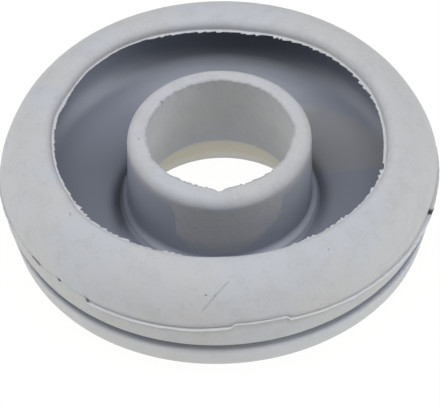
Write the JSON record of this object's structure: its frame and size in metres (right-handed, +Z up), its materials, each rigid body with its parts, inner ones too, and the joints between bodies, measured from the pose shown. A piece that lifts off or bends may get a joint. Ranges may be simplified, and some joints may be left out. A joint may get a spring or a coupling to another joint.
{
  "type": "water tank seal",
  "caption": "Moulded rubber ring seal: flared hub with a bore, undercut channel, rolled sealing lip and a panel groove over a bottom flange.",
  "frame": {"origin": "centre of the spout's foot, where the bore's axis meets the plane that the seal stands on", "axes": "+Z up along the bore's axis, from the spout towards the rolled lip; X and Y are equal by symmetry"},
  "size_m": [0.036, 0.036, 0.011],
  "materials": {
    "rubber": "matte moulded rubber"
  },
  "bodies": {
    "root": {"tank_seal": "rubber"}
  },
  "joints": []
}
